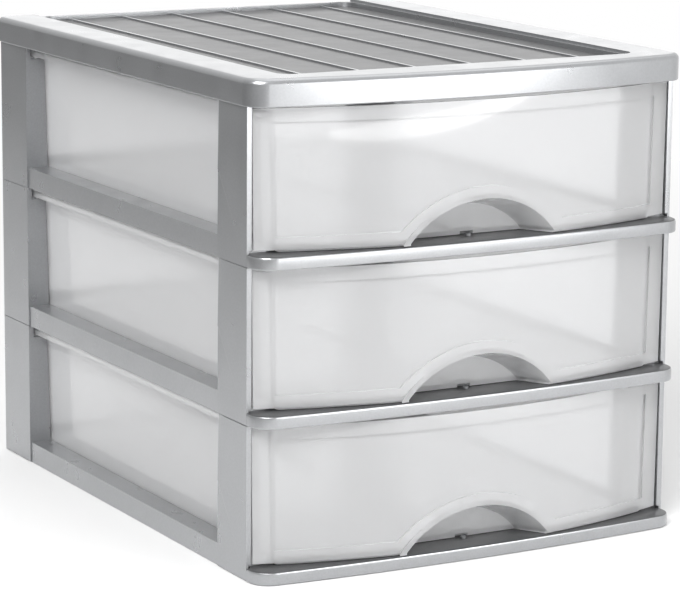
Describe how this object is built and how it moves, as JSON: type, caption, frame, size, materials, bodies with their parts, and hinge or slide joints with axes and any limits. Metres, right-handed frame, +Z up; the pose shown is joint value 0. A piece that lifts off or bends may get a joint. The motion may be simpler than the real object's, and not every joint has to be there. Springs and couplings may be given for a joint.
{
  "type": "stackable drawer box",
  "caption": "Desk-top drawer tower: bow-fronted translucent drawers with finger arches slide in a silver plastic frame of decks, corner uprights and ribbed cover, open at sides and back",
  "frame": {"origin": "centre of the footprint, on the surface the box stands on", "axes": "+Z up, the drawers face and slide out towards -Y, +X towards the viewer's right when facing the drawers"},
  "size_m": [0.264, 0.34, 0.262],
  "materials": {
    "cover": "silver metallic plastic, smooth with a soft gloss",
    "deck": "silver metallic plastic, smooth with a soft gloss",
    "upright": "silver metallic plastic, smooth with a soft gloss",
    "drawer": "translucent frosted plastic, slightly glossy outside"
  },
  "bodies": {
    "frame": {"base_deck": "deck", "lower_upright_front_left": "upright", "lower_upright_front_right": "upright", "lower_upright_back_left": "upright", "lower_upright_back_right": "upright", "middle_deck": "deck", "middle_upright_front_left": "upright", "middle_upright_front_right": "upright", "middle_upright_back_left": "upright", "middle_upright_back_right": "upright", "upper_deck": "deck", "upper_upright_front_left": "upright", "upper_upright_front_right": "upright", "upper_upright_back_left": "upright", "upper_upright_back_right": "upright", "top_cover": "cover"},
    "drawer_upper": {"upper_drawer": "drawer"},
    "drawer_middle": {"middle_drawer": "drawer"},
    "drawer_lower": {"lower_drawer": "drawer"}
  },
  "joints": [
    {"name": "upper_drawer_slide", "type": "slide", "parent": "frame", "child": "drawer_upper", "axis": [0, -1, 0], "range_m": [0, 0.24]},
    {"name": "middle_drawer_slide", "type": "slide", "parent": "frame", "child": "drawer_middle", "axis": [0, -1, 0], "range_m": [0, 0.24]},
    {"name": "lower_drawer_slide", "type": "slide", "parent": "frame", "child": "drawer_lower", "axis": [0, -1, 0], "range_m": [0, 0.24]}
  ]
}
